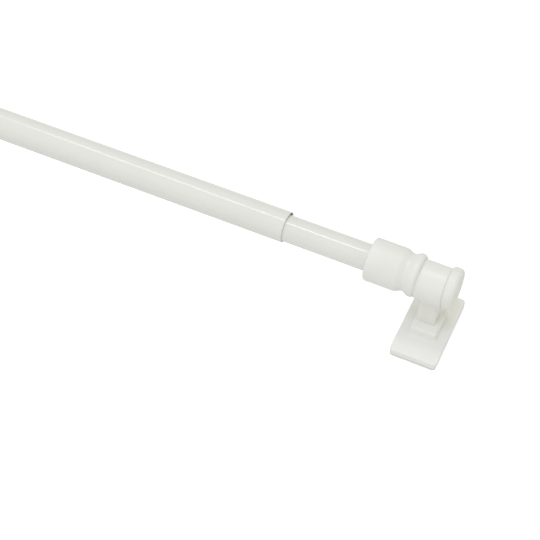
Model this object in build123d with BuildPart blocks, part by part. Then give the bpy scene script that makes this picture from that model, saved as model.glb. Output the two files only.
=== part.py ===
from build123d import *
import math
import os

# Telescopic cafe curtain rod on two adhesive brackets, in millimetres.
# X runs along the rod towards the inner tube's end, Y lies across it in the plane that the brackets stand on,
# and Z points away from that plane. The origin is on that plane, midway between the two end knobs.

# Length of the rod, from end knob to end knob
closed_length = 300.0
shown_extension = 32.0
closed_gap = 0.2

# Height of the rod's axis above the backs of the adhesive pads
axis_height = 28.0

# Tubes
inner_tube_radius = 5.0
inner_tube_wall = 0.35
outer_tube_radius = 5.75
outer_tube_wall = 0.25
mouth_rise = 0.45
tube_end_gap = 0.1
plug_reserve = 5.0

# End caps, turned about the rod's axis
barrel_radius = 8.0
barrel_length = 11.8
barrel_rounding = 0.8
groove_radius = 7.0
groove_floor = 0.9
groove_run_in = 2.1
groove_rounding = 0.7
bead_radius = 8.0
bead_rise = 2.0
bead_crown = 1.2
bead_fall = 0.9
bead_foot_drop = 0.7
bead_rounding = 1.1
socket_depth = 15.0
socket_clearance = 0.05
neck_radius = 4.6

# End knobs
knob_radius = 7.6
knob_thickness = 3.95
knob_inner_rounding = 1.0
knob_outer_rounding = 1.7
spigot_radius = 2.5
spigot_length = 7.0
spigot_clearance = 0.02
spigot_end_gap = 0.5

# Bracket heads: a ring round the cap's neck, and the post that carries it
ring_radius = 7.35
ring_drop = 1.1
ring_width = 10.0
ring_play = 0.04
ring_rounding = 0.8
running_clearance = 0.08
post_width = 7.2
post_depth = 5.6
post_rounding = 0.9
tenon_width = 5.2
tenon_depth = 3.6
tenon_rounding = 0.5
tenon_end_gap = 0.2

# Base plates, with the raised block that holds the post
plate_width = 17.6
plate_length = 32.4
plate_thickness = 2.5
plate_offset = 0.7
plate_corner = 1.3
plate_rounding = 0.4
block_width = 9.9
block_length = 12.8
block_height = 3.8
block_corner = 0.9
block_rounding = 0.6
pocket_floor = 1.4
pocket_clearance = 0.05

# Adhesive pads
pad_thickness = 0.9
pad_inset = 0.15

# Plug in the inner tube's hidden end
plug_head = 1.5
plug_depth = 8.0
plug_wall = 1.2
plug_clearance = 0.02

# Places along the rod, counted outward from the middle of a bracket
shoulder_u = -(ring_width / 2 + ring_play)
bead_u = shoulder_u - bead_fall
groove_u = bead_u - bead_crown - bead_rise
run_in_u = groove_u - groove_floor
barrel_end_u = run_in_u - groove_run_in
barrel_face_u = barrel_end_u - barrel_length
knob_u = ring_width / 2 + ring_play
tip_u = knob_u + knob_thickness
socket_end_u = barrel_face_u + socket_depth

# Places along X
bracket_x = (closed_length + shown_extension) / 2 - tip_u
mouth_x = bracket_x + barrel_face_u - shown_extension - closed_gap
left_socket_end_x = -bracket_x - socket_end_u
right_socket_end_x = bracket_x + socket_end_u

LEFT = -1
RIGHT = 1


def axis_plane(side):
    """Upright plane through the rod's axis at one bracket: x runs outward along the rod, y runs up."""
    return Plane(origin=(side * bracket_x, 0, axis_height), x_dir=(side, 0, 0), z_dir=(0, -side, 0))


def rod_axis(side):
    return Axis((side * bracket_x, 0, axis_height), (side, 0, 0))


def level_plane(side, height, outward=0.0):
    """Level plane at a height above the pads' backs, under one bracket's ring or outward from there."""
    return Plane(origin=(side * (bracket_x + outward), 0, height), x_dir=(side, 0, 0), z_dir=(0, 0, 1))


def save(piece, name):
    piece.part.label = name
    export_step(piece.part, f"parts/{name}.step")


def make_end_cap(side, tube_radius):
    """Barrel with a socket for the tube, groove, bead, and the neck that the bracket's ring turns on."""
    outline = [
        (barrel_face_u, tube_radius + socket_clearance),
        (barrel_face_u, barrel_radius),
        (barrel_end_u, barrel_radius),
        (run_in_u, groove_radius),
        (groove_u, groove_radius),
        (groove_u + bead_rise, bead_radius),
        (bead_u, bead_radius),
        (shoulder_u, bead_radius - bead_foot_drop),
        (shoulder_u, neck_radius),
    ]
    roundings = [
        barrel_rounding,
        groove_rounding,
        groove_rounding,
        groove_rounding,
        bead_rounding,
        bead_rounding,
        groove_rounding,
    ]
    hole_end_u = knob_u - spigot_length - spigot_end_gap
    with BuildPart() as cap:
        with BuildSketch(axis_plane(side)):
            with BuildLine():
                FilletPolyline(*outline, radius=roundings)
                Polyline(
                    outline[-1],
                    (knob_u, neck_radius),
                    (knob_u, spigot_radius + spigot_clearance),
                    (hole_end_u, spigot_radius + spigot_clearance),
                    (hole_end_u, 0),
                    (socket_end_u, 0),
                    (socket_end_u, tube_radius + socket_clearance),
                    outline[0],
                )
            make_face()
        revolve(axis=rod_axis(side))
    return cap


def make_end_knob(side):
    """Rounded disc that closes the rod's end, with a spigot pressed into the cap's neck."""
    with BuildPart() as knob:
        with BuildSketch(axis_plane(side)):
            with BuildLine():
                FilletPolyline(
                    (knob_u, spigot_radius),
                    (knob_u, knob_radius),
                    (tip_u, knob_radius),
                    (tip_u, 0),
                    radius=[knob_inner_rounding, knob_outer_rounding],
                )
                Polyline(
                    (tip_u, 0),
                    (knob_u - spigot_length, 0),
                    (knob_u - spigot_length, spigot_radius),
                    (knob_u, spigot_radius),
                )
            make_face()
        revolve(axis=rod_axis(side))
    return knob


def make_bracket_head(side):
    """Ring round the cap's neck and the post below it, standing on the block with its tenon in the pocket."""
    ring_height = axis_height - ring_drop
    block_top = pad_thickness + plate_thickness + block_height
    tenon_foot = pad_thickness + pocket_floor + tenon_end_gap
    across = Plane(origin=(side * bracket_x, 0, 0), x_dir=(0, 1, 0), z_dir=(1, 0, 0))
    with BuildPart() as head:
        with BuildSketch(across):
            with Locations((0, ring_height)):
                Circle(ring_radius)
        extrude(amount=ring_width / 2, both=True)
        fillet(head.edges().filter_by(GeomType.CIRCLE), ring_rounding)
        with BuildSketch(level_plane(side, block_top)):
            RectangleRounded(post_width, post_depth, post_rounding)
        extrude(amount=ring_height - block_top)
        with BuildSketch(level_plane(side, tenon_foot)):
            RectangleRounded(tenon_width, tenon_depth, tenon_rounding)
        extrude(amount=block_top - tenon_foot)
        with BuildSketch(across):
            with Locations((0, axis_height)):
                Circle(neck_radius + running_clearance)
        extrude(amount=ring_width, both=True, mode=Mode.SUBTRACT)
    return head


def make_base_plate(side):
    """Flat plate with a raised block and the pocket for the post's foot."""
    top = pad_thickness + plate_thickness
    pocket_floor_height = pad_thickness + pocket_floor
    with BuildPart() as base:
        with BuildSketch(level_plane(side, pad_thickness, plate_offset)):
            RectangleRounded(plate_width, plate_length, plate_corner)
        extrude(amount=plate_thickness)
        fillet(base.faces().sort_by(Axis.Z)[-1].edges(), plate_rounding)
        with BuildSketch(level_plane(side, top, plate_offset)):
            RectangleRounded(block_width, block_length, block_corner)
        extrude(amount=block_height)
        fillet(base.faces().sort_by(Axis.Z)[-1].edges(), block_rounding)
        with BuildSketch(level_plane(side, pocket_floor_height)):
            RectangleRounded(
                tenon_width + 2 * pocket_clearance,
                tenon_depth + 2 * pocket_clearance,
                tenon_rounding + pocket_clearance,
            )
        extrude(amount=plate_thickness + block_height, mode=Mode.SUBTRACT)
    return base


def make_adhesive_pad(side):
    with BuildPart() as pad:
        with BuildSketch(level_plane(side, 0, plate_offset)):
            RectangleRounded(
                plate_width - 2 * pad_inset, plate_length - 2 * pad_inset, plate_corner - pad_inset
            )
        extrude(amount=pad_thickness)
    return pad


def make_tube(start, end, rise, radius, wall):
    """Straight tube from one X to another, whose far end stands higher by the given rise."""
    length = math.hypot(end - start, rise)
    along = ((end - start) / length, 0, rise / length)
    with BuildPart() as tube:
        with BuildSketch(Plane(origin=(start, 0, axis_height), x_dir=(0, 1, 0), z_dir=along)):
            Circle(radius)
            Circle(radius - wall, mode=Mode.SUBTRACT)
        extrude(amount=length)
    return tube


def make_tube_plug(tube_end_x):
    """Hollow plug pressed into the inner tube's hidden end, with a head as wide as the tube."""
    bore = inner_tube_radius - inner_tube_wall
    start = Plane(origin=(tube_end_x, 0, axis_height), x_dir=(0, 1, 0), z_dir=(1, 0, 0))
    with BuildPart() as plug:
        with BuildSketch(start):
            Circle(inner_tube_radius)
        extrude(amount=-plug_head)
        with BuildSketch(start):
            Circle(bore - plug_clearance)
            Circle(bore - plug_clearance - plug_wall, mode=Mode.SUBTRACT)
        extrude(amount=plug_depth)
    return plug


os.makedirs("parts", exist_ok=True)

outer_tube_start = left_socket_end_x + tube_end_gap
inner_tube_start = left_socket_end_x + plug_reserve + plug_head + shown_extension

save(make_tube(outer_tube_start, mouth_x, mouth_rise, outer_tube_radius, outer_tube_wall), "outer_tube")
save(
    make_tube(inner_tube_start, right_socket_end_x - tube_end_gap, 0, inner_tube_radius, inner_tube_wall),
    "inner_tube",
)
save(make_tube_plug(inner_tube_start), "inner_tube_plug")

for side, side_name, tube_radius in (
    (LEFT, "left", outer_tube_radius),
    (RIGHT, "right", inner_tube_radius),
):
    save(make_end_cap(side, tube_radius), f"{side_name}_end_cap")
    save(make_end_knob(side), f"{side_name}_end_knob")
    save(make_bracket_head(side), f"{side_name}_bracket_head")
    save(make_base_plate(side), f"{side_name}_base_plate")
    save(make_adhesive_pad(side), f"{side_name}_adhesive_pad")
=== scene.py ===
import math

import bmesh
import bpy
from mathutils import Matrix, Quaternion, Vector


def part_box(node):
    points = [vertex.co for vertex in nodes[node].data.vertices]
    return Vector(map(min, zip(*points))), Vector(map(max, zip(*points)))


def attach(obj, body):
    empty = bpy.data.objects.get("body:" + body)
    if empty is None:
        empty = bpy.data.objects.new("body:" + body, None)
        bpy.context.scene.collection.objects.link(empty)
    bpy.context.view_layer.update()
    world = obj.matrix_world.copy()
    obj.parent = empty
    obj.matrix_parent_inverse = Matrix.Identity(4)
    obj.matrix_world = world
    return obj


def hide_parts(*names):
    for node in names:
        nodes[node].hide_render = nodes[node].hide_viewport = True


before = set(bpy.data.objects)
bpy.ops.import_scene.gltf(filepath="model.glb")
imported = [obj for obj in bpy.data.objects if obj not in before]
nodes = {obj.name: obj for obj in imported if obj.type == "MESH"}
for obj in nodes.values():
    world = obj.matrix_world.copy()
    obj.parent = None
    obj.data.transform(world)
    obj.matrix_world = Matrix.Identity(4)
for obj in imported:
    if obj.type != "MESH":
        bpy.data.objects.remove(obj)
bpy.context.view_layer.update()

# Telescopic cafe curtain rod on two adhesive brackets, in metres. X runs along the rod towards the inner
# tube's end, Z points away from the plane that the brackets stand on, and Y lies across the rod.

MM = 0.001
LEFT = -1
RIGHT = 1
SIDES = ((LEFT, "left"), (RIGHT, "right"))

# Names that end in _u are places along the rod's axis, counted outward from the middle of a bracket's ring

# Places and sizes that the frame gives
head_low, head_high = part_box("right_bracket_head")
bracket_x = (head_low.x + head_high.x) / 2
inner_low, inner_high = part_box("inner_tube")
axis_height = (inner_low.z + inner_high.z) / 2
inner_radius = (inner_high.z - inner_low.z) / 2
outer_low, outer_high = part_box("outer_tube")
outer_radius = (outer_high.y - outer_low.y) / 2
mouth_rise = (outer_high.z - outer_low.z) - 2 * outer_radius
plate_low, plate_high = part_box("right_base_plate")
plate_offset = (plate_low.x + plate_high.x) / 2 - bracket_x

# End caps, turned about the rod's axis
cap_low, cap_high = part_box("right_end_cap")
barrel_face_u = cap_low.x - bracket_x
knob_u = cap_high.x - bracket_x
barrel_radius = (cap_high.y - cap_low.y) / 2
barrel_length = 11.8 * MM
barrel_end_u = barrel_face_u + barrel_length
barrel_rounding = 0.8 * MM
groove_run_in = 2.1 * MM
groove_floor = 0.9 * MM
groove_radius = 7.0 * MM
groove_rounding = 0.7 * MM
bead_rise = 2.0 * MM
bead_rise_rounding = 1.1 * MM
bead_crown = 1.2 * MM
bead_fall = 0.9 * MM
bead_fall_rounding = 1.3 * MM
bead_foot_radius = 7.3 * MM
neck_radius = 4.6 * MM
socket_depth = 15.0 * MM
socket_clearance = 0.05 * MM
socket_lip = 0.15 * MM
cap_edge = 0.08 * MM
cap_core_radius = 0.2 * MM
cap_step = 1.2 * MM
parting_line_rise = 0.025 * MM
parting_line_width = 0.16 * MM

# End knobs
knob_low, knob_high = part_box("right_end_knob")
tip_u = knob_high.x - bracket_x
knob_radius = (knob_high.y - knob_low.y) / 2
spigot_radius = 2.5 * MM
spigot_length = 7.0 * MM
spigot_clearance = 0.02 * MM
spigot_end_gap = 0.5 * MM
spigot_end_rounding = 0.3 * MM
knob_edge = 0.1 * MM
knob_bevel = 0.4 * MM
knob_inner_rounding = 1.3 * MM
knob_outer_rounding = 1.7 * MM
knob_dish_radius = 3.4 * MM
knob_dish_depth = 0.18 * MM
knob_dish_slope = 0.6 * MM
knob_dish_rounding = 0.5 * MM
knob_step = 0.8 * MM

# Bracket heads
ring_half_width = (head_high.x - head_low.x) / 2
ring_radius = (head_high.y - head_low.y) / 2
ring_height = head_high.z - ring_radius
running_clearance = 0.08 * MM
ring_bore = neck_radius + running_clearance
ring_reach = 0.03 * MM
ring_inner_edge = 0.05 * MM
ring_lead_in = 0.9 * MM
ring_lead_in_rise = 0.7 * MM
ring_outer_edge = 0.35 * MM
ring_edge_softness = 0.35 * MM
head_edge = 0.1 * MM
weld_distance = 0.0001 * MM
post_width = 7.2 * MM
post_depth = 5.6 * MM
post_corner = 0.9 * MM
post_flare = 0.4 * MM
tenon_width = 5.2 * MM
tenon_depth = 3.6 * MM
tenon_corner = 0.5 * MM
tenon_foot = head_low.z
gate_mark_place = Vector((-0.25 * MM, 17.0 * MM))
gate_mark_radius = 0.55 * MM
gate_mark_depth = 0.06 * MM

# Base plates
plate_width = plate_high.x - plate_low.x
plate_length = plate_high.y - plate_low.y
plate_bottom = plate_low.z
block_top = plate_high.z
plate_thickness = 2.5 * MM
plate_top = plate_bottom + plate_thickness
plate_corner = 1.3 * MM
plate_rounding = 0.4 * MM
plate_bottom_edge = 0.15 * MM
block_width = 9.9 * MM
block_length = 12.8 * MM
block_corner = 0.9 * MM
block_rounding = 0.6 * MM
block_foot_flare = 0.3 * MM
least_corner = 0.05 * MM
pocket_clearance = 0.05 * MM
pocket_rim = 0.05 * MM
pocket_floor = 1.4 * MM
sink_mark_offset = Vector((-1.8 * MM, -12.1 * MM))
sink_mark_radius = 0.9 * MM
sink_mark_depth = 0.07 * MM

# Tubes
inner_wall = 0.35 * MM
outer_wall = 0.25 * MM
lip_share = 0.45
seam_angle = math.radians(-98.0)
seam_width = 0.22 * MM
seam_depth = 0.05 * MM
tube_step = 5.0 * MM

# The outer tube's bore is crimped at its mouth. It leaves a gap all round the inner tube, and more play on
# one side, at the upper back.
crimp_length = 5.0 * MM
mouth_gap = 0.08 * MM
mouth_play = 0.7 * MM
mouth_play_angle = math.radians(40.0)
mouth_play_sharpness = 4

# Faces that meet at more than this angle keep a sharp edge
SHARP_ANGLE = math.radians(35.0)

# The share of its range that a noise texture mostly keeps to
NOISE_LOW = 0.3
NOISE_HIGH = 0.7

# Floor
FLOOR_HALF = 3.0
FLOOR_DROP = 0.2 * MM
FLOOR_GLOW = 0.49
FLOOR_GLOW_MIRRORED = 0.3

# Camera, fitted to the photograph's edges
CAMERA_PLACE = Vector((0.21703, -0.27826, 0.38345))
CAMERA_TARGET = Vector((0.10339, -0.01998, 0.02792))
CAMERA_ROLL = 1.48
SENSOR_WIDTH = 36.0
LENS = 86.667
CLIP_START = 0.01


# Outlines and meshes

def rounded(corners, radii, steps=7):
    """Outline through the corners, each inner corner taken off by an arc of its radius."""
    outline = [Vector(corners[0])]
    for before, corner, after, radius in zip(corners, corners[1:], corners[2:], radii):
        corner = Vector(corner)
        back = (Vector(before) - corner).normalized()
        on = (Vector(after) - corner).normalized()
        half = back.angle(on) / 2
        centre = corner + (back + on).normalized() * radius / math.sin(half)
        first = corner + back * radius / math.tan(half) - centre
        last = corner + on * radius / math.tan(half) - centre
        start = math.atan2(first.y, first.x)
        turn = math.remainder(math.atan2(last.y, last.x) - start, 2 * math.pi)
        for step in range(steps + 1):
            angle = start + turn * step / steps
            outline.append(centre + radius * Vector((math.cos(angle), math.sin(angle))))
    outline.append(Vector(corners[-1]))
    return outline


def divided(outline, longest):
    """The same outline with its long runs cut into even steps."""
    points = [outline[0]]
    for start, end in zip(outline, outline[1:]):
        count = max(1, math.ceil((end - start).length / longest))
        for step in range(1, count + 1):
            points.append(start.lerp(end, step / count))
    return points


def finished(mesh, name):
    """Turns a bmesh into a smooth-shaded object whose flat faces stay flat."""
    bmesh.ops.recalc_face_normals(mesh, faces=mesh.faces)
    data = bpy.data.meshes.new(name)
    mesh.to_mesh(data)
    mesh.free()
    piece = bpy.data.objects.new(name, data)
    bpy.context.scene.collection.objects.link(piece)
    data.shade_smooth()
    data.set_sharp_from_angle(angle=SHARP_ANGLE)
    weighted = piece.modifiers.new("flat_faces", "WEIGHTED_NORMAL")
    weighted.keep_sharp = True
    return piece


def lathed(name, outline, place, segments=128, closed=False):
    """Turns an outline of (distance along the axis, radius) round the axis that place() puts in space."""
    mesh = bmesh.new()
    rings = []
    for u, radius in outline:
        if radius == 0:
            rings.append([mesh.verts.new(place(u, 0, 0))])
            continue
        ring = []
        for index in range(segments):
            ring.append(mesh.verts.new(place(u, radius, 2 * math.pi * index / segments)))
        rings.append(ring)
    pairs = list(zip(rings, rings[1:]))
    if closed:
        pairs.append((rings[-1], rings[0]))
    for first, second in pairs:
        for index in range(segments):
            after = (index + 1) % segments
            if len(first) == 1:
                mesh.faces.new((first[0], second[index], second[after]))
            elif len(second) == 1:
                mesh.faces.new((first[index], first[after], second[0]))
            else:
                mesh.faces.new((first[index], first[after], second[after], second[index]))
    return finished(mesh, name)


def on_axis(side, dent=None):
    """Places lathe points round the rod's axis at one bracket, u running outward. dent moves the surface."""
    def place(u, radius, angle):
        if dent is not None:
            radius += dent(u, radius, angle)
        across = radius * math.cos(angle)
        up = radius * math.sin(angle)
        return Vector((side * (bracket_x + u), across, axis_height + up))
    return place


def rounded_rectangle(width, length, corner, centre_x=0.0, corner_steps=8, side_steps=14):
    """Points round a rectangle with rounded corners. Their number depends on the two step counts alone."""
    half = Vector((width / 2 - corner, length / 2 - corner))
    signs = ((1, 1), (-1, 1), (-1, -1), (1, -1))
    arcs = []
    for quarter, (sign_x, sign_y) in enumerate(signs):
        arc = []
        for step in range(corner_steps + 1):
            angle = math.pi / 2 * (quarter + step / corner_steps)
            x = sign_x * half.x + corner * math.cos(angle)
            y = sign_y * half.y + corner * math.sin(angle)
            arc.append(Vector((centre_x + x, y)))
        arcs.append(arc)
    points = []
    for arc, following in zip(arcs, arcs[1:] + arcs[:1]):
        points.extend(arc)
        for step in range(1, side_steps):
            points.append(arc[-1].lerp(following[0], step / side_steps))
    return points


def join(mesh, first, second):
    """Band of faces between two closed rings of as many vertices."""
    for index in range(len(first)):
        after = (index + 1) % len(first)
        mesh.faces.new((first[index], first[after], second[after], second[index]))


def stacked(loops):
    """A bmesh of loops of points joined in order, closed with a face at either end."""
    mesh = bmesh.new()
    rings = [[mesh.verts.new(point) for point in loop] for loop in loops]
    for first, second in zip(rings, rings[1:]):
        join(mesh, first, second)
    mesh.faces.new(reversed(rings[0]))
    mesh.faces.new(rings[-1])
    return mesh


# Pieces

def make_tube(name, start, end, rise, radius, wall, crimped, body):
    """Rolled tube with burnished lips and a fine seam underneath. It can be crimped onto the inner tube."""
    length = math.hypot(end - start, rise)
    along = Vector((end - start, 0, rise)) / length
    upward = Vector((-along.z, 0, along.x))
    lip = wall * lip_share
    corners = [
        (length / 2, radius),
        (length, radius),
        (length, radius - wall),
        (0, radius - wall),
        (0, radius),
        (length / 2, radius),
    ]
    outline = divided(rounded(corners, [lip, lip, lip, lip], steps=4), tube_step)[:-1]

    def crimp(angle):
        """How far the bore has to come in at the mouth, to leave the wanted gap round the inner tube."""
        free = radius - wall - inner_radius + rise * math.sin(angle)
        facing = max(0.0, math.cos(angle - mouth_play_angle))
        return max(0.0, free - (mouth_gap + mouth_play * facing ** mouth_play_sharpness))

    def place(u, distance, angle):
        off_seam = math.remainder(angle - seam_angle, 2 * math.pi) * radius
        if distance > radius - wall / 2:
            distance -= seam_depth * math.exp(-((off_seam / seam_width) ** 2))
        elif crimped:
            distance -= crimp(angle) * max(0.0, 1 - (length - u) / crimp_length)
        across = Vector((0, math.cos(angle), 0)) * distance
        return Vector((start, 0, axis_height)) + along * u + across + upward * math.sin(angle) * distance

    tube = lathed(name, outline, place, segments=180, closed=True)
    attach(tube, body)
    return tube


def make_end_cap(side, side_name, tube_radius, body):
    """Barrel, groove, bead and neck, with the faint lines where the two halves of its mould met."""
    socket_radius = tube_radius + socket_clearance
    run_in_u = barrel_end_u + groove_run_in
    groove_u = run_in_u + groove_floor
    bead_u = groove_u + bead_rise + bead_crown
    shoulder_u = bead_u + bead_fall
    hole_radius = spigot_radius + spigot_clearance
    hole_end_u = knob_u - spigot_length - spigot_end_gap
    socket_end_u = barrel_face_u + socket_depth
    middle_u = (barrel_face_u + barrel_end_u) / 2
    # The outline closes on itself, so a hole as fine as a hair stays open on the axis behind the socket
    corners = [
        (middle_u, barrel_radius),
        (barrel_end_u, barrel_radius),
        (run_in_u, groove_radius),
        (groove_u, groove_radius),
        (groove_u + bead_rise, barrel_radius),
        (bead_u, barrel_radius),
        (shoulder_u, bead_foot_radius),
        (shoulder_u, neck_radius),
        (knob_u, neck_radius),
        (knob_u, hole_radius),
        (hole_end_u, hole_radius),
        (hole_end_u, cap_core_radius),
        (socket_end_u, cap_core_radius),
        (socket_end_u, socket_radius),
        (barrel_face_u, socket_radius),
        (barrel_face_u, barrel_radius),
        (middle_u, barrel_radius),
    ]
    radii = [groove_rounding] * 3 + [bead_rise_rounding, bead_fall_rounding, cap_edge / 2]
    radii += [cap_edge] * 7 + [socket_lip, barrel_rounding]
    outline = divided(rounded(corners, radii), cap_step)[:-1]

    def parting_line(u, radius, angle):
        """Rise of the surface where the mould's halves met, outside the neck and the holes."""
        if radius < groove_radius - groove_rounding:
            return 0.0
        off_line = abs(math.remainder(angle, math.pi)) * radius
        return parting_line_rise * math.exp(-((off_line / parting_line_width) ** 2))

    cap = lathed(f"{side_name}_cap", outline, on_axis(side, parting_line), segments=180, closed=True)
    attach(cap, body)
    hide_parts(f"{side_name}_end_cap")
    return cap


def make_end_knob(side, side_name, body):
    """Pillowy disc with a shallow dish in its outer face, and the spigot that holds it in the cap."""
    corners = [
        (knob_u - spigot_length, 0),
        (knob_u - spigot_length, spigot_radius),
        (knob_u, spigot_radius),
        (knob_u, knob_radius - knob_bevel),
        (knob_u + knob_bevel, knob_radius),
        (tip_u, knob_radius),
        (tip_u, knob_dish_radius + knob_dish_slope),
        (tip_u - knob_dish_depth, knob_dish_radius),
        (tip_u - knob_dish_depth, 0),
    ]
    radii = [spigot_end_rounding, knob_edge, knob_edge, knob_inner_rounding, knob_outer_rounding]
    radii += [knob_dish_rounding] * 2
    outline = divided(rounded(corners, radii, steps=9), knob_step)
    knob = lathed(f"{side_name}_knob", outline, on_axis(side))
    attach(knob, body)
    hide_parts(f"{side_name}_end_knob")
    return knob


def make_bracket_head(side, side_name, body):
    """Ring and post as one skin, with a soft fillet where the post leaves the ring."""
    # The post grows out of a patch of the ring that reaches this far to each side of straight down
    patch_angle = math.radians(40.0)
    steps = 40
    stations = round(math.pi * steps / patch_angle)
    half_width = ring_half_width + ring_reach
    first_u = -half_width + ring_inner_edge
    last_u = half_width - ring_outer_edge - ring_edge_softness
    mesh = bmesh.new()

    def vertex(u, y, z):
        """Vertex of the head, pressed in round the gate mark on the post's front."""
        if y < 0 and z < ring_height - ring_radius / 2:
            off_mark = (Vector((u, z)) - gate_mark_place).length
            y += gate_mark_depth * math.exp(-((off_mark / gate_mark_radius) ** 2))
        return mesh.verts.new((side * (bracket_x + u), side * y, z))

    def on_ring(u, radius, angle):
        """Point on the ring, the angle measured from straight down.

        The bore is round the rod's axis, and the outer surface rises to the bead's foot at its inner end.
        """
        if radius < (ring_radius + ring_bore) / 2:
            return vertex(u, radius * math.sin(angle), axis_height - radius * math.cos(angle))
        point = Vector((radius * math.sin(angle), ring_height - axis_height - radius * math.cos(angle)))
        share = 1 - (u + half_width) / ring_lead_in
        if share > 0:
            rise = min(bead_foot_radius - point.length, ring_lead_in_rise)
            point *= 1 + rise * (1 - math.sqrt(1 - min(share, 1.0) ** 2)) / point.length
        return vertex(u, point.x, axis_height + point.y)

    # Ends, bore and rounded edges
    corners = [
        (last_u, ring_radius),
        (half_width - ring_outer_edge, ring_radius),
        (half_width, ring_radius - ring_outer_edge),
        (half_width, ring_bore),
        (-half_width, ring_bore),
        (-half_width, ring_radius),
        (first_u, ring_radius),
    ]
    outline = rounded(corners, [2 * ring_edge_softness, head_edge / 2, head_edge, head_edge, ring_inner_edge])
    angles = [patch_angle * (2 * index / steps - 1) for index in range(stations)]
    rings = [[on_ring(u, radius, angle) for angle in angles] for u, radius in outline]
    for first, second in zip(rings, rings[1:]):
        join(mesh, first, second)

    # Outer surface beside the post
    beside_post = [angles[index % stations] for index in range(steps, stations + 1)]
    rows = []
    for row in range(steps + 1):
        u = first_u + (last_u - first_u) * row / steps
        rows.append([on_ring(u, ring_radius, angle) for angle in beside_post])
    for first, second in zip(rows, rows[1:]):
        for index in range(len(first) - 1):
            mesh.faces.new((first[index], first[index + 1], second[index + 1], second[index]))

    # Post, fillet and the ring's surface round the post
    def underside(y):
        return ring_height - math.sqrt(ring_radius ** 2 - y ** 2)

    def around(width, depth, corner):
        return rounded_rectangle(width, depth, corner, side_steps=steps)

    foot = around(tenon_width - 2 * head_edge, tenon_depth - 2 * head_edge, tenon_corner - head_edge)
    tenon = around(tenon_width, tenon_depth, tenon_corner)
    post = around(post_width, post_depth, post_corner)
    loops = [
        [vertex(u, y, tenon_foot) for u, y in foot],
        [vertex(u, y, tenon_foot + head_edge) for u, y in tenon],
        [vertex(u, y, block_top) for u, y in tenon],
    ]
    height_steps = 60
    for step in range(height_steps + 1):
        share = step / height_steps
        loop = []
        for u, y in post:
            post_top = underside(y) - post_flare
            loop.append(vertex(u, y, block_top + (post_top - block_top) * share))
        loops.append(loop)
    fillet_steps = 6
    for step in range(1, fillet_steps + 1):
        angle = math.pi / 2 * step / fillet_steps
        out = post_flare * (1 - math.cos(angle))
        down = post_flare * (1 - math.sin(angle))
        flared = around(post_width + 2 * out, post_depth + 2 * out, post_corner + out)
        loops.append([vertex(u, y, underside(y) - down) for u, y in flared])
    middle_u = (first_u + last_u) / 2
    border = rounded_rectangle(last_u - first_u, 2 * patch_angle, 0.0, middle_u, side_steps=steps)
    patch_rows = 6
    for row in range(1, patch_rows + 1):
        share = row / patch_rows
        loop = []
        for (u, y), (border_u, border_angle) in zip(flared, border):
            angle = math.asin(y / ring_radius)
            angle += (border_angle - angle) * share
            loop.append(on_ring(u + (border_u - u) * share, ring_radius, angle))
        loops.append(loop)
    for first, second in zip(loops, loops[1:]):
        join(mesh, first, second)
    mesh.faces.new(loops[0])
    bmesh.ops.remove_doubles(mesh, verts=mesh.verts, dist=weld_distance)

    head = finished(mesh, f"{side_name}_head")
    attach(head, body)
    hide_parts(f"{side_name}_bracket_head")
    return head


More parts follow.
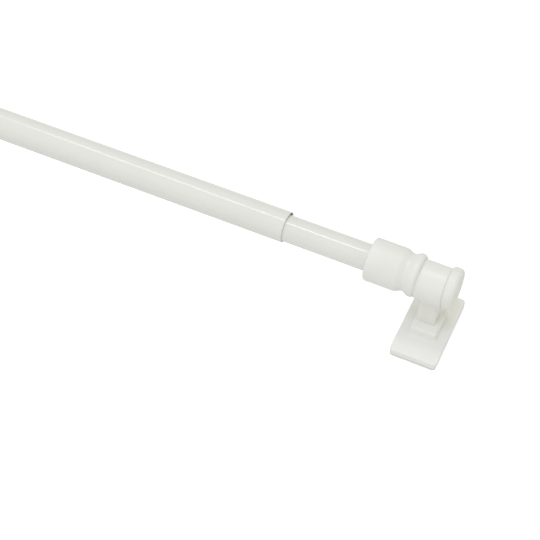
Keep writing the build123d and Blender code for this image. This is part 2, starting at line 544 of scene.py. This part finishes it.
def make_base_plate(side, side_name, body):
    """Plate, raised block and pocket as one skin, with the sink mark in front of the block."""
    pocket_width = tenon_width + 2 * pocket_clearance
    pocket_depth = tenon_depth + 2 * pocket_clearance
    pocket_corner = tenon_corner + pocket_clearance
    loops = []

    def add(width, length, corner, height, centre=plate_offset):
        flat = rounded_rectangle(width, length, corner, centre)
        loops.append([(point.x, point.y, height) for point in flat])

    def add_rounding(width, length, corner, height, radius, concave=False, steps=6):
        """Loops round an edge: from the upright side into a level face on top, or up from one at its foot."""
        for step in range(steps + 1):
            angle = math.pi / 2 * step / steps
            if concave:
                inset = radius * math.sin(angle) - radius
                rise = radius * (1 - math.cos(angle))
            else:
                inset = radius * (1 - math.cos(angle))
                rise = radius * math.sin(angle) - radius
            inset_corner = max(corner - inset, least_corner)
            add(width - 2 * inset, length - 2 * inset, inset_corner, height + rise)

    # Underside, bottom edge and sides of the plate
    for edges in (2, 1):
        inset = edges * plate_bottom_edge
        add(plate_width - 2 * inset, plate_length - 2 * inset, plate_corner - inset, plate_bottom)
    add(plate_width, plate_length, plate_corner, plate_bottom + plate_bottom_edge)
    add_rounding(plate_width, plate_length, plate_corner, plate_top, plate_rounding)

    # Level top of the plate, up to the block's foot
    top_width = plate_width - 2 * plate_rounding
    top_length = plate_length - 2 * plate_rounding
    top_corner = plate_corner - plate_rounding
    foot_width = block_width + 2 * block_foot_flare
    foot_length = block_length + 2 * block_foot_flare
    foot_corner = block_corner + block_foot_flare
    top_rows = 22
    for row in range(1, top_rows):
        share = row / top_rows
        add(
            top_width + (foot_width - top_width) * share,
            top_length + (foot_length - top_length) * share,
            top_corner + (foot_corner - top_corner) * share,
            plate_top,
        )

    # Block, its level top and the pocket
    add_rounding(block_width, block_length, block_corner, plate_top, block_foot_flare, concave=True)
    add_rounding(block_width, block_length, block_corner, block_top, block_rounding)
    inner_width = block_width - 2 * block_rounding
    inner_length = block_length - 2 * block_rounding
    inner_corner = block_corner - block_rounding
    block_rows = 5
    for row in range(1, block_rows + 1):
        share = row / block_rows
        add(
            inner_width + (pocket_width + 2 * pocket_rim - inner_width) * share,
            inner_length + (pocket_depth + 2 * pocket_rim - inner_length) * share,
            inner_corner + (pocket_corner + pocket_rim - inner_corner) * share,
            block_top,
            plate_offset * (1 - share),
        )
    for height in (block_top - pocket_rim, plate_bottom + pocket_floor):
        add(pocket_width, pocket_depth, pocket_corner, height, centre=0.0)

    def place(point):
        x, y, z = point
        off_mark = (Vector((x - plate_offset, y)) - sink_mark_offset).length
        if z > plate_bottom:
            z -= sink_mark_depth * math.exp(-((off_mark / sink_mark_radius) ** 2))
        return Vector((side * (bracket_x + x), side * y, z))

    mesh = stacked([[place(point) for point in loop] for loop in loops])
    plate = finished(mesh, f"{side_name}_plate")
    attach(plate, body)
    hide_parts(f"{side_name}_base_plate")
    return plate


# Materials

def new_material(name):
    material = bpy.data.materials.new(name)
    material.use_nodes = True
    tree = material.node_tree
    return material, tree, tree.nodes["Principled BSDF"]


def coordinates(tree, kind):
    return tree.nodes.new("ShaderNodeTexCoord").outputs[kind]


def noise(tree, scale, detail):
    """Noise in the object's own space, scale in waves to the metre."""
    texture = tree.nodes.new("ShaderNodeTexNoise")
    texture.inputs["Scale"].default_value = scale
    texture.inputs["Detail"].default_value = detail
    tree.links.new(coordinates(tree, "Object"), texture.inputs["Vector"])
    return texture.outputs["Fac"]


def ramped(tree, source, low, high, start=NOISE_LOW, end=NOISE_HIGH):
    """Colour that runs from low to high as the source goes from start to end."""
    ramp = tree.nodes.new("ShaderNodeValToRGB")
    ramp.color_ramp.elements[0].position = start
    ramp.color_ramp.elements[0].color = (*low, 1)
    ramp.color_ramp.elements[1].position = end
    ramp.color_ramp.elements[1].color = (*high, 1)
    tree.links.new(source, ramp.inputs["Fac"])
    return ramp.outputs["Color"]


def ranged(tree, source, low, high, start=NOISE_LOW, end=NOISE_HIGH):
    """Number that runs from low to high as the source goes from start to end."""
    spread = tree.nodes.new("ShaderNodeMapRange")
    spread.inputs["From Min"].default_value = start
    spread.inputs["From Max"].default_value = end
    spread.inputs["To Min"].default_value = low
    spread.inputs["To Max"].default_value = high
    tree.links.new(source, spread.inputs["Value"])
    return spread.outputs["Result"]


def bumped(tree, source, strength, distance, normal=None):
    """Normal tilted by the source's slope, on top of another normal where one is given."""
    bump = tree.nodes.new("ShaderNodeBump")
    bump.inputs["Strength"].default_value = strength
    bump.inputs["Distance"].default_value = distance
    tree.links.new(source, bump.inputs["Height"])
    if normal is not None:
        tree.links.new(normal, bump.inputs["Normal"])
    return bump.outputs["Normal"]


def tube_paint(name, smoothest, roughest, lacquer):
    """Gloss enamel baked on a rolled tube: faint orange peel, slow waves and dust in the gloss."""
    material, tree, shader = new_material(name)
    clouds = noise(tree, scale=60, detail=3)
    colour = ramped(tree, clouds, low=(0.78, 0.785, 0.755), high=(0.80, 0.805, 0.775))
    dust = noise(tree, scale=400, detail=4)
    peel = bumped(tree, noise(tree, scale=900, detail=2), strength=0.15, distance=0.01 * MM)
    waves = bumped(tree, noise(tree, scale=60, detail=1), strength=0.15, distance=0.08 * MM, normal=peel)
    tree.links.new(colour, shader.inputs["Base Color"])
    tree.links.new(ranged(tree, dust, smoothest, roughest), shader.inputs["Roughness"])
    tree.links.new(waves, shader.inputs["Normal"])
    shader.inputs["IOR"].default_value = 1.55
    shader.inputs["Coat Weight"].default_value = lacquer
    shader.inputs["Coat Roughness"].default_value = 0.08
    return material


def moulded_plastic(name, low, high, smoothest, roughest, wave, milkiness):
    """Satin moulding: milky body, slow sink waves of the given height and the mould's fine spark texture."""
    material, tree, shader = new_material(name)
    clouds = noise(tree, scale=110, detail=4)
    handling = noise(tree, scale=500, detail=5)
    grain = bumped(tree, noise(tree, scale=2600, detail=3), strength=0.2, distance=0.02 * MM)
    waves = bumped(tree, noise(tree, scale=160, detail=1), strength=0.35, distance=wave, normal=grain)
    tree.links.new(ramped(tree, clouds, low, high), shader.inputs["Base Color"])
    tree.links.new(ranged(tree, handling, smoothest, roughest), shader.inputs["Roughness"])
    tree.links.new(waves, shader.inputs["Normal"])
    shader.inputs["IOR"].default_value = 1.52
    shader.inputs["Subsurface Weight"].default_value = milkiness
    shader.inputs["Subsurface Radius"].default_value = (1.0, 0.98, 0.82)
    shader.inputs["Subsurface Scale"].default_value = 2.5 * MM
    return material


def pad_foam():
    """Closed-cell foam of the adhesive pad."""
    material, tree, shader = new_material("closed_cell_foam")
    cells = tree.nodes.new("ShaderNodeTexVoronoi")
    cells.inputs["Scale"].default_value = 3500
    tree.links.new(coordinates(tree, "Object"), cells.inputs["Vector"])
    depth = cells.outputs["Distance"]
    colour = ramped(tree, depth, low=(0.84, 0.84, 0.81), high=(0.72, 0.72, 0.69), start=0.1, end=0.8)
    tree.links.new(colour, shader.inputs["Base Color"])
    tree.links.new(bumped(tree, depth, strength=0.5, distance=0.08 * MM), shader.inputs["Normal"])
    shader.inputs["Roughness"].default_value = 0.85
    shader.inputs["Specular IOR Level"].default_value = 0.3
    return material


def dress(piece, material):
    piece.data.materials.clear()
    piece.data.materials.append(material)


outer_enamel = tube_paint("gloss_enamel_outer", smoothest=0.12, roughest=0.16, lacquer=0.1)
inner_enamel = tube_paint("gloss_enamel_inner", smoothest=0.12, roughest=0.16, lacquer=0.8)
cap_plastic = moulded_plastic(
    "satin_cap_plastic",
    low=(0.815, 0.817, 0.795),
    high=(0.84, 0.842, 0.82),
    smoothest=0.38,
    roughest=0.48,
    wave=0.06 * MM,
    milkiness=0.2,
)
head_plastic = moulded_plastic(
    "satin_head_plastic",
    low=(0.825, 0.827, 0.80),
    high=(0.85, 0.852, 0.825),
    smoothest=0.28,
    roughest=0.36,
    wave=0.24 * MM,
    milkiness=0.05,
)
plate_plastic = moulded_plastic(
    "satin_plate_plastic",
    low=(0.87, 0.872, 0.85),
    high=(0.89, 0.892, 0.87),
    smoothest=0.32,
    roughest=0.40,
    wave=0.08 * MM,
    milkiness=0.05,
)
foam = pad_foam()


# The part

outer_tube = make_tube(
    "outer_tube_rolled",
    start=outer_low.x,
    end=outer_high.x,
    rise=mouth_rise,
    radius=outer_radius,
    wall=outer_wall,
    crimped=True,
    body="outer_rod",
)
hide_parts("outer_tube")
dress(outer_tube, outer_enamel)
inner_tube = make_tube(
    "inner_tube_rolled",
    start=inner_low.x,
    end=inner_high.x,
    rise=0.0,
    radius=inner_radius,
    wall=inner_wall,
    crimped=False,
    body="inner_rod",
)
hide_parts("inner_tube")
dress(inner_tube, inner_enamel)
dress(nodes["inner_tube_plug"], cap_plastic)

for side, side_name in SIDES:
    rod = "outer_rod" if side == LEFT else "inner_rod"
    tube_radius = outer_radius if side == LEFT else inner_radius
    bracket = f"{side_name}_bracket"
    dress(make_end_cap(side, side_name, tube_radius, rod), cap_plastic)
    dress(make_end_knob(side, side_name, rod), cap_plastic)
    dress(make_base_plate(side, side_name, bracket), plate_plastic)
    dress(make_bracket_head(side, side_name, bracket), head_plastic)
    dress(nodes[f"{side_name}_adhesive_pad"], foam)


# Floor, light and camera

def combined(tree, operation, first, second):
    """Math node's result for a socket and either another socket or a number."""
    node = tree.nodes.new("ShaderNodeMath")
    node.operation = operation
    tree.links.new(first, node.inputs[0])
    if isinstance(second, float):
        node.inputs[1].default_value = second
    else:
        tree.links.new(second, node.inputs[1])
    return node.outputs[0]


def floor_material():
    """Matt white, with light of its own that only the camera, clear things and reflections see.

    So the floor looks white, shadows still fall on it, and its own light brightens nothing else.
    """
    material = bpy.data.materials.new("pale_floor")
    material.use_nodes = True
    tree = material.node_tree
    tree.nodes.remove(tree.nodes["Principled BSDF"])
    output = tree.nodes["Material Output"]
    matt = tree.nodes.new("ShaderNodeBsdfDiffuse")
    matt.inputs["Color"].default_value = (0.82, 0.82, 0.82, 1)
    glow = tree.nodes.new("ShaderNodeEmission")
    glow.inputs["Color"].default_value = (0.9, 0.9, 1.0, 1)
    path = tree.nodes.new("ShaderNodeLightPath").outputs
    direct = combined(tree, "MAXIMUM", path["Is Camera Ray"], path["Is Transmission Ray"])
    mirrored = combined(tree, "MULTIPLY", path["Is Glossy Ray"], FLOOR_GLOW_MIRRORED)
    seen = combined(tree, "MAXIMUM", direct, mirrored)
    tree.links.new(combined(tree, "MULTIPLY", seen, FLOOR_GLOW), glow.inputs["Strength"])
    both = tree.nodes.new("ShaderNodeAddShader")
    tree.links.new(matt.outputs[0], both.inputs[0])
    tree.links.new(glow.outputs[0], both.inputs[1])
    tree.links.new(both.outputs[0], output.inputs["Surface"])
    return material


def make_floor():
    mesh = bmesh.new()
    corners = ((-1, -1), (1, -1), (1, 1), (-1, 1))
    mesh.faces.new([mesh.verts.new((x * FLOOR_HALF, y * FLOOR_HALF, 0)) for x, y in corners])
    data = bpy.data.meshes.new("floor")
    mesh.to_mesh(data)
    mesh.free()
    data.materials.append(floor_material())
    floor = bpy.data.objects.new("floor", data)
    floor.location.z = -FLOOR_DROP
    bpy.context.scene.collection.objects.link(floor)


def add_lamp(name, place, target, width, length, watts, colour, glossy, turn=0.0):
    """Rectangular lamp facing its target, turned about its own beam by so many degrees."""
    data = bpy.data.lights.new(name, "AREA")
    data.color = colour
    data.shape = "RECTANGLE"
    data.size = width
    data.size_y = length
    data.energy = watts
    lamp = bpy.data.objects.new(name, data)
    lamp.location = place
    lamp.rotation_mode = "QUATERNION"
    facing = (Vector(target) - Vector(place)).to_track_quat("-Z", "Y")
    lamp.rotation_quaternion = facing @ Quaternion((0, 0, 1), math.radians(turn))
    lamp.visible_glossy = glossy
    bpy.context.scene.collection.objects.link(lamp)


def make_world():
    """Warm surroundings, a little brighter in front. The camera itself sees them as plain white."""
    world = bpy.data.worlds.new("studio")
    bpy.context.scene.world = world
    world.use_nodes = True
    tree = world.node_tree
    background = tree.nodes["Background"]
    background.inputs["Color"].default_value = (1.0, 0.998, 0.89, 1)
    split = tree.nodes.new("ShaderNodeSeparateXYZ")
    tree.links.new(coordinates(tree, "Generated"), split.inputs[0])
    level = ranged(tree, split.outputs["Y"], low=0.76, high=0.61, start=-1.0, end=1.0)
    tree.links.new(level, background.inputs["Strength"])
    seen = tree.nodes.new("ShaderNodeBackground")
    seen.inputs["Color"].default_value = (1.0, 1.0, 1.0, 1)
    seen.inputs["Strength"].default_value = 1.0
    either = tree.nodes.new("ShaderNodeMixShader")
    tree.links.new(tree.nodes.new("ShaderNodeLightPath").outputs["Is Camera Ray"], either.inputs[0])
    tree.links.new(background.outputs[0], either.inputs[1])
    tree.links.new(seen.outputs[0], either.inputs[2])
    tree.links.new(either.outputs[0], tree.nodes["World Output"].inputs["Surface"])


def add_lamps():
    """A cooler, soft key in front of overhead, and two lamps whose reflections make the highlights."""
    add_lamp(
        "key",
        place=(0.11, -0.37, 0.9),
        target=(0.11, 0, 0),
        width=0.30,
        length=0.30,
        watts=2.2,
        colour=(0.77, 0.785, 1.0),
        glossy=False,
    )
    add_lamp(
        "tube_strip",
        place=(-0.26, 0.13, 0.9),
        target=(-0.26, 0.13, 0),
        width=0.56,
        length=0.10,
        watts=0.62,
        colour=(1.0, 1.0, 1.0),
        glossy=True,
        turn=-34.0,
    )
    add_lamp(
        "ring_strip",
        place=(0.04, 0.12, 0.92),
        target=(0.04, 0.12, 0),
        width=0.10,
        length=0.13,
        watts=0.5,
        colour=(1.0, 1.0, 1.0),
        glossy=True,
    )


def place_camera():
    data = bpy.data.cameras.new("photo_camera")
    data.sensor_width = SENSOR_WIDTH
    data.lens = LENS
    data.clip_start = CLIP_START
    camera = bpy.data.objects.new("photo_camera", data)
    camera.location = CAMERA_PLACE
    camera.rotation_mode = "QUATERNION"
    level = (CAMERA_TARGET - CAMERA_PLACE).to_track_quat("-Z", "Y")
    camera.rotation_quaternion = level @ Quaternion((0, 0, 1), math.radians(CAMERA_ROLL))
    bpy.context.scene.collection.objects.link(camera)
    bpy.context.scene.camera = camera


make_floor()
make_world()
add_lamps()
place_camera()
bpy.context.scene.view_settings.view_transform = "Standard"
